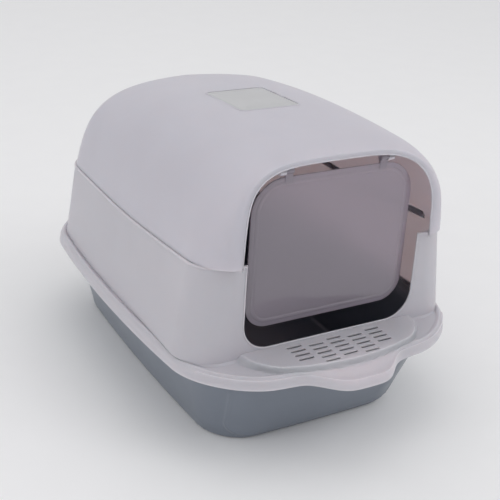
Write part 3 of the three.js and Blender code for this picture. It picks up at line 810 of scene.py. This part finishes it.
class MESH_OT_hood_details(bpy.types.Operator):
    """Build the doorway's rounded edge, the locating rail and the hood's rear knuckles"""
    bl_idname = "mesh.hood_details"
    bl_label = "Hood details"

    def execute(self, context):
        sizes, colours = context.scene.litter_box_sizes, context.scene.litter_box_colours
        plastic = hood_plastic(colours)
        y = DOOR_FACE + sizes.hood_wall / 2
        top = seam_at(DOOR_FACE) - GAP
        path = [(-DOOR_HALF, y, top), *[(x, y, z) for x, z in door_points()], (DOOR_HALF, y, top)]
        edge = bead("doorway_edge", path, sizes.rim_bead)
        finish_piece(edge, "hood", plastic, angle=60)

        inner = LEDGE + sizes.cover_wall + GAP

        def rail_ring(inset, above):
            return ring(lambda z: hood_plan(z, inset), lambda x, y: seam_at(y) + above)

        joined = sizes.hood_wall - 0.2 * mm
        profile = [(joined, -7.0), (joined, -1.5), (inner, -1.0), (inner, 3.6),
                   (inner + 0.3 * mm, 4.0), (inner + 0.9 * mm, 4.0), (inner + 1.2 * mm, 3.6),
                   (inner + 1.2 * mm, -3.0), (joined, -7.0)]
        rail = wrap("locating_rail", [rail_ring(inset, above * mm) for inset, above in profile])
        rail_front = DOOR_FACE - VISOR_REACH + VISOR_TAPER + 2 * mm
        reach = FLANGE_HALF + 20 * mm
        ahead = block("ahead", ((-reach, reach), [
            (DOOR_FACE - 60 * mm, 0.1), (rail_front, 0.1), (rail_front, 0.4),
            (DOOR_FACE - 60 * mm, 0.4)]), soften=1e-5)
        cut(rail, ahead)
        finish_piece(rail, "hood", plastic)
        for label, middle in (("left", -HINGE_HALF), ("right", HINGE_HALF)):
            parts = []
            for side in (-1, 1):
                near = middle + side * (KNUCKLE_WIDTH / 2 + GAP)
                far = near + side * KNUCKLE_WIDTH
                parts += knuckle(min(near, far), max(near, far), -1)
            pair = merge_pieces(parts, f"hood_knuckles_{label}")
            finish_piece(pair, "hood", plastic)
        for label in ("left", "right"):
            pin = frame["nodes"][f"hinge_pin_{label}"]
            pin.data.materials.clear()
            pin.data.materials.append(plastic)
        return {"FINISHED"}


def knuckle(x0, x1, direction):
    """A hinge knuckle with its web; direction is 1 for a web that goes up, -1 for down."""
    y, z = hinge_axis.y, hinge_axis.z
    outline = [(-10, 0.5), (5, 0.5), (4.2, 5), (-13.5 if direction > 0 else -8, 15)]
    web = [(y + a * mm, z + direction * b * mm) for a, b in outline]
    if direction < 0:
        web = [web[3], web[2], web[1], web[0]]
    return [rod("knuckle", KNUCKLE_RADIUS, x0, x1, y, z), block("web", ((x0, x1), web))]


# ---- top cover ----
def cover_rings():
    """The cover's outer skin, from the seam up over the roof to a closed middle."""
    rows = 44
    crown = crown_of(LEDGE)
    rings = []
    for i in range(rows + 1):
        level = math.sin(math.pi / 2 * 0.96 * i / rows) ** (2 / SHOULDER_POWER)
        level = level if i else 0

        def height(x, y, level=level):
            low = seam_at(y) + GAP / 2
            return low + (crown - low) * level

        points = ring(lambda z: cover_plan(z, LEDGE), height)
        rings.append([(x, y, roof_fall(x, y, z)) for x, y, z in points])
    last = [(x, y, crown) for x, y, _ in rings[-1]]
    lift = crown - height(0, 0)
    for share in (0.85, 0.7, 0.5, 0.3, 0.12, 0.0):
        points = shrunk(last, share)
        rings.append([(x, y, roof_fall(x, y, crown - lift * share)) for x, y, _ in points])
    return rings


def arch_points(grow=0.0):
    """The arch's outline in x and z, from the right foot over the top to the left foot."""
    points = []
    steps = 28
    for i in range(steps + 1):
        rise = math.sin(math.pi / 2 * i / steps) ** (2 / ARCH_POWER)
        z = ARCH_SPRING + (ARCH_TOP - ARCH_SPRING) * rise
        points.append((arch_half(z) + grow, z + grow * rise))
    return points + [(-x, z) for x, z in reversed(points[:-1])]


class MESH_OT_top_cover(bpy.types.Operator):
    """Build the flip-top cover with its arched opening and filter place"""
    bl_idname = "mesh.top_cover"
    bl_label = "Top cover"

    def execute(self, context):
        sizes, colours = context.scene.litter_box_sizes, context.scene.litter_box_colours
        cover = wrap("cover_shell", cover_rings())
        modify(cover, "SOLIDIFY", thickness=sizes.cover_wall, offset=-1, use_even_offset=True)
        points = arch_points()
        foot = SEAM - 20 * mm
        outline = [(ARCH_HALF, foot), *points, (-ARCH_HALF, foot)]
        front = DOOR_FACE - VISOR_REACH - 30 * mm
        cut(cover, prism("arch", outline, front, DOOR_FACE + 26 * mm, upright))
        well = rounded(39 * mm + 2.9 * mm, 50 * mm, (8 * mm, 8 * mm))
        cut(cover, prism("lid_seat", well, -20 * mm, 10 * mm, on_roof))
        finish_piece(cover, "cover", cover_plastic(colours), ["top_cover"])
        return {"FINISHED"}


class MESH_OT_cover_details(bpy.types.Operator):
    """Build the arch's rounded edge, the filter well, the flap's hangers and the rear knuckles"""
    bl_idname = "mesh.cover_details"
    bl_label = "Cover details"

    def execute(self, context):
        sizes, colours = context.scene.litter_box_sizes, context.scene.litter_box_colours
        plastic = cover_plastic(colours)
        wall = sizes.cover_wall
        low = seam_at(DOOR_FACE) + 1.5 * mm
        path = [(ARCH_HALF, visor_front(low, 0) + wall / 2 + LEDGE, low)]
        for x, z in arch_points():
            level = z
            for _ in range(6):
                level += z - roof_fall(0, visor_front(level, LEDGE), level)
            path.append((x, visor_front(level, LEDGE) + wall / 2 + LEDGE, z))
        path.append((-path[0][0], path[0][1], path[0][2]))
        edge = bead("arch_edge", path, sizes.rim_bead)
        finish_piece(edge, "cover", plastic, angle=60)

        half_a, half_b = 42 * mm, 50 * mm

        def loop(grow, depth):
            radius = (8 * mm + grow, 8 * mm + grow)
            return [on_roof(a, b, depth) for a, b in rounded(half_a + grow, half_b + grow, radius)]

        floor_depth, wall_out = -18 * mm, 2.5 * mm
        low_outer, low_inner = loop(wall_out, floor_depth), loop(-3 * mm, floor_depth + 2 * mm)
        well = wrap("filter_well", [
            shrunk(low_outer, 0), low_outer, loop(wall_out, 0.2 * mm),
            loop(wall_out - 0.4 * mm, 0.55 * mm),
            loop(0.5 * mm, 0.6 * mm), loop(0.1 * mm, 0.3 * mm), loop(0, -2.9 * mm),
            loop(-3 * mm, -2.9 * mm), low_inner, shrunk(low_inner, 0)])
        grille = []
        for i in range(7):
            middle = (i - 3) * 12 * mm
            outline = [(a, b + middle) for a, b in rounded(32 * mm, 2.5 * mm, (2 * mm, 2 * mm), 3)]
            grille.append(prism("grille_slot", outline, floor_depth - 3 * mm,
                                floor_depth + 5 * mm, on_roof))
        cut(well, merge_pieces(grille, "grille"))
        finish_piece(well, "cover", plastic)

        for label, side in (("left", -1), ("right", 1)):
            near = side * (EAR_MIDDLE + EAR_HALF + GAP)
            far = near + side * HANGER_WIDTH
            x0, x1 = min(near, far), max(near, far)
            y, z = flap_axis.y, flap_axis.z
            top = ARCH_TOP - 1 * mm
            hanger = merge_pieces([
                rod("hanger", 5 * mm, x0, x1, y, z),
                block("hanger_block", ((x0, x1), [
                    (y - 5 * mm, z), (y + 5 * mm, z), (y + 5 * mm, top + 2 * mm),
                    (y - 5 * mm, top)]))], f"flap_hanger_{label}")
            finish_piece(hanger, "cover", plastic)
            middle = side * HINGE_HALF
            parts = knuckle(middle - KNUCKLE_WIDTH / 2, middle + KNUCKLE_WIDTH / 2, 1)
            single = merge_pieces(parts, f"cover_knuckle_{label}")
            finish_piece(single, "cover", plastic)
        return {"FINISHED"}


# ---- flap ----
class MESH_OT_swing_flap(bpy.types.Operator):
    """Build the smoky flap with its raised bead, ears and pins"""
    bl_idname = "mesh.swing_flap"
    bl_label = "Flap"

    def execute(self, context):
        sizes, colours = context.scene.litter_box_sizes, context.scene.litter_box_colours
        half, rise = sizes.flap_half_thickness, sizes.flap_bead
        low, high = flap_low.z, 342 * mm
        middle = (low + high) / 2

        def loop(inset, depth):
            outline = rounded(flap_high.x - inset, (high - low) / 2 - inset,
                              (42 * mm - inset, 30 * mm - inset), 14)
            return [(a, flap_axis.y + depth, middle + b) for a, b in outline]

        profile = [(11.5, half), (10.6, half), (10.1, half + rise * 0.6), (9.4, half + rise),
                   (6.6, half + rise), (5.9, half + rise * 0.6), (5.4, half), (1.0, half),
                   (0.3, half * 0.75), (0.0, half * 0.2)]
        near = [loop(inset * mm, -depth) for inset, depth in profile]
        far = [loop(inset * mm, depth) for inset, depth in reversed(profile)]
        panel = wrap("flap_panel", [shrunk(near[0], 0), *near, *far, shrunk(far[-1], 0)])
        parts = [panel]
        for side in (-1, 1):
            ear = side * EAR_MIDDLE
            x0, x1 = ear - EAR_HALF, ear + EAR_HALF
            y, z = flap_axis.y, flap_axis.z
            pin_end = side * PIN_END
            parts.append(rod("ear_boss", 4 * mm, x0, x1, y, z))
            parts.append(rod("ear_pin", 2.2 * mm, min(ear, pin_end), max(ear, pin_end), y, z))
            parts.append(block("ear_stem", ((x0, x1), [
                (y - 1.8 * mm, high - 8 * mm), (y + 1.8 * mm, high - 8 * mm),
                (y + 1.8 * mm, z), (y - 1.8 * mm, z)]), soften=0.5 * mm))
        flap = merge_pieces(parts, "flap_panel")
        finish_piece(flap, "flap",
                     material_named("smoked_polystyrene", smoked_polystyrene, colours.flap),
                     ["flap_door"])
        return {"FINISHED"}


# ---- filter ----
class MESH_OT_roof_filter(bpy.types.Operator):
    """Build the filter's frosted lid and its carbon foam pad"""
    bl_idname = "mesh.roof_filter"
    bl_label = "Roof filter"

    def execute(self, context):
        colours = context.scene.litter_box_colours

        def loop(half_a, half_b, radius, depth):
            return [on_roof(a, b, depth) for a, b in rounded(half_a, half_b, (radius, radius))]

        half_a, half_b, radius = 41.6 * mm, 49.6 * mm, 7.6 * mm
        rows = [(0, -2.5), (0, -0.5), (0.3, -0.12), (0.9, 0), (4.2, 0), (4.6, -0.25), (5.2, -0.45)]
        rings = [loop(half_a - inset * mm, half_b - inset * mm, radius - min(inset, 5) * mm,
                      depth * mm) for inset, depth in rows]
        lid = wrap("filter_lid_panel", [shrunk(rings[0], 0), *rings, shrunk(rings[-1], 0)])
        finish_piece(lid, "filter",
                     material_named("frosted_polypropylene", frosted_lid_plastic, colours.lid),
                     ["filter_lid"])
        half_a, half_b, radius = 38.2 * mm, 46.2 * mm, 4.2 * mm
        rows = [(1.2, -11.9), (0.3, -11.4), (0, -10.5), (0, -4.3), (0.3, -3.4), (1.2, -2.9)]
        rings = [loop(half_a - inset * mm, half_b - inset * mm, radius - inset * mm,
                      depth * mm) for inset, depth in rows]
        pad = wrap("carbon_pad", [shrunk(rings[0], 0), *rings, shrunk(rings[-1], 0)])
        finish_piece(pad, "filter",
                     material_named("carbon_foam", carbon_foam, colours.foam), ["filter_pad"])
        return {"FINISHED"}


# ---- stage ----
CAMERA_TURN = (-31.6, 23.9, 4.0)                # yaw, pitch and roll in degrees
CAMERA_PLACE = (-0.6539, -1.1113, 0.7552)
CAMERA_LENS = 75.6
CAMERA_SHIFT = (-0.0354, -0.0326)


class OBJECT_OT_litter_box_stage(bpy.types.Operator):
    """Set the pale floor, the soft lights and the camera"""
    bl_idname = "object.litter_box_stage"
    bl_label = "Stage"

    def execute(self, context):
        colours = context.scene.litter_box_colours
        bpy.ops.object.select_all(action="DESELECT")
        bpy.ops.mesh.primitive_circle_add(vertices=96, radius=14, fill_type="NGON",
                                          location=(0, 0, -0.5 * mm))
        floor = context.object
        floor.name = "floor"
        bpy.ops.object.transform_apply(location=True, rotation=True, scale=True)
        floor.data.materials.append(material_named("studio_paper", stage_paint, colours.floor))

        world = bpy.data.worlds.new("studio")
        world.use_nodes = True
        shade = world.node_tree.nodes["Background"]
        shade.inputs["Color"].default_value = linear("#F4F4F6")
        shade.inputs["Strength"].default_value = 0.78
        context.scene.world = world

        lights = [("key", (1.1, -1.8, 2.4), 1.6, 11), ("top", (0.0, 0.4, 3.0), 2.6, 8),
                  ("left_strip", (-2.4, -0.3, 1.5), 0.7, 5)]
        for name, place, size, power in lights:
            lamp = bpy.data.lights.new(name, "AREA")
            lamp.shape = "DISK"
            lamp.size = size
            lamp.energy = power
            holder = bpy.data.objects.new(name, lamp)
            context.scene.collection.objects.link(holder)
            holder.location = place
            aim = Vector((0, 0, 0.15)) - holder.location
            holder.rotation_euler = aim.to_track_quat("-Z", "Y").to_euler()

        yaw, pitch, roll = (math.radians(angle) for angle in CAMERA_TURN)
        back = Vector((math.sin(yaw) * math.cos(pitch), -math.cos(yaw) * math.cos(pitch),
                       math.sin(pitch)))
        right = Vector((math.cos(yaw), math.sin(yaw), 0))
        up = back.cross(right)
        across = right * math.cos(roll) + up * math.sin(roll)
        upward = up * math.cos(roll) - right * math.sin(roll)
        camera_data = bpy.data.cameras.new("camera")
        camera_data.lens = CAMERA_LENS
        camera_data.shift_x, camera_data.shift_y = CAMERA_SHIFT
        camera_data.clip_end = 100
        camera = bpy.data.objects.new("camera", camera_data)
        context.scene.collection.objects.link(camera)
        turned = Matrix((across, upward, back)).transposed().to_4x4()
        camera.matrix_world = Matrix.Translation(CAMERA_PLACE) @ turned
        context.scene.camera = camera
        context.scene.view_settings.view_transform = "Standard"
        return {"FINISHED"}


class VIEW3D_PT_litter_box(bpy.types.Panel):
    """Lists the litter box's pieces, sizes and colours"""
    bl_label = "Litter box"
    bl_idname = "VIEW3D_PT_litter_box"
    bl_space_type = "VIEW_3D"
    bl_region_type = "UI"
    bl_category = "Litter box"

    def draw(self, context):
        for group in (context.scene.litter_box_sizes, context.scene.litter_box_colours):
            for name in group.__annotations__:
                self.layout.prop(group, name)
        for operator in OPERATORS:
            self.layout.operator(operator.bl_idname)


OPERATORS = [OBJECT_OT_litter_box_stage, MESH_OT_litter_tray, MESH_OT_lower_hood,
             MESH_OT_hood_details, MESH_OT_top_cover, MESH_OT_cover_details, MESH_OT_swing_flap,
             MESH_OT_roof_filter]
CLASSES = [LitterBoxSizes, LitterBoxColours, *OPERATORS, VIEW3D_PT_litter_box]


def register():
    for entry in CLASSES:
        bpy.utils.register_class(entry)
    bpy.types.Scene.litter_box_sizes = bpy.props.PointerProperty(type=LitterBoxSizes)
    bpy.types.Scene.litter_box_colours = bpy.props.PointerProperty(type=LitterBoxColours)


def unregister():
    del bpy.types.Scene.litter_box_colours
    del bpy.types.Scene.litter_box_sizes
    for entry in reversed(CLASSES):
        bpy.utils.unregister_class(entry)


def main():
    register()
    bpy.ops.object.litter_box_stage()
    bpy.ops.mesh.litter_tray()
    bpy.ops.mesh.lower_hood()
    bpy.ops.mesh.hood_details()
    bpy.ops.mesh.top_cover()
    bpy.ops.mesh.cover_details()
    bpy.ops.mesh.swing_flap()
    bpy.ops.mesh.roof_filter()


if __name__ == "__main__":
    main()
